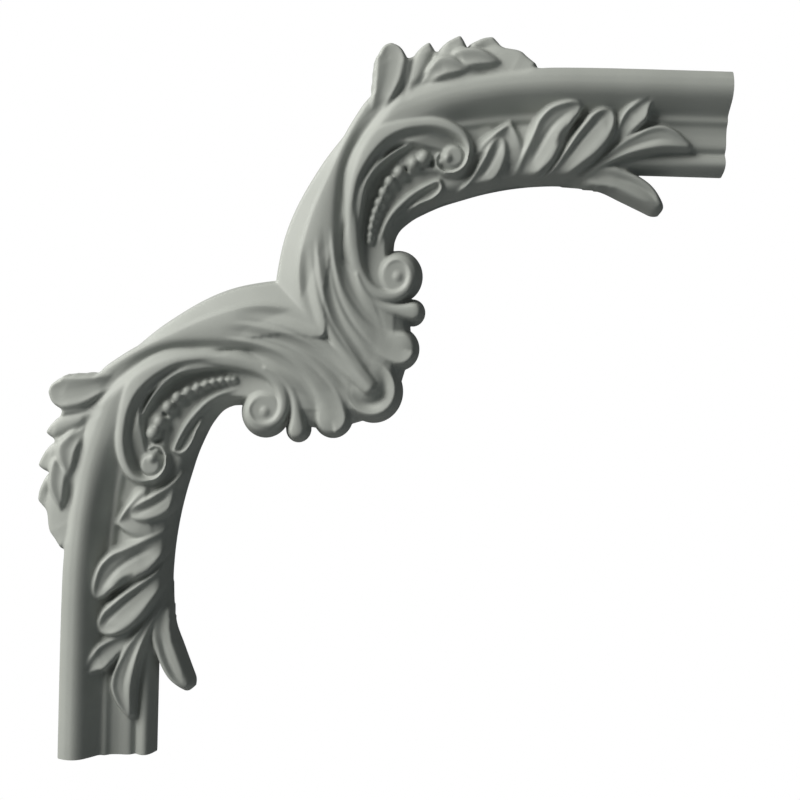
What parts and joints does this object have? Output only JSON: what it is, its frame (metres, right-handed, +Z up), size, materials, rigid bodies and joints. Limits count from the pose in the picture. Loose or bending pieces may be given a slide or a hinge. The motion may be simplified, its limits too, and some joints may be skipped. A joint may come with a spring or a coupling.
{
  "type": "panel moulding corner",
  "caption": "Cast applique corner with a flat back: moulding arms with leaves and scrolls meet in a fluted shell, to join straight panel mouldings.",
  "frame": {"origin": "on the flat back, behind the body, on the diagonal that mirrors one arm onto the other", "axes": "+Y out of the flat back, into the wall; the carving faces -Y; +X towards the cut end of the horizontal arm; +Z up, away from the cut end of the upright arm"},
  "size_m": [0.2922, 0.019, 0.3135],
  "materials": {
    "cast_resin": "primed, matte with a slight sheen"
  },
  "bodies": {
    "root": {"moulding_corner": "cast_resin"}
  },
  "joints": []
}
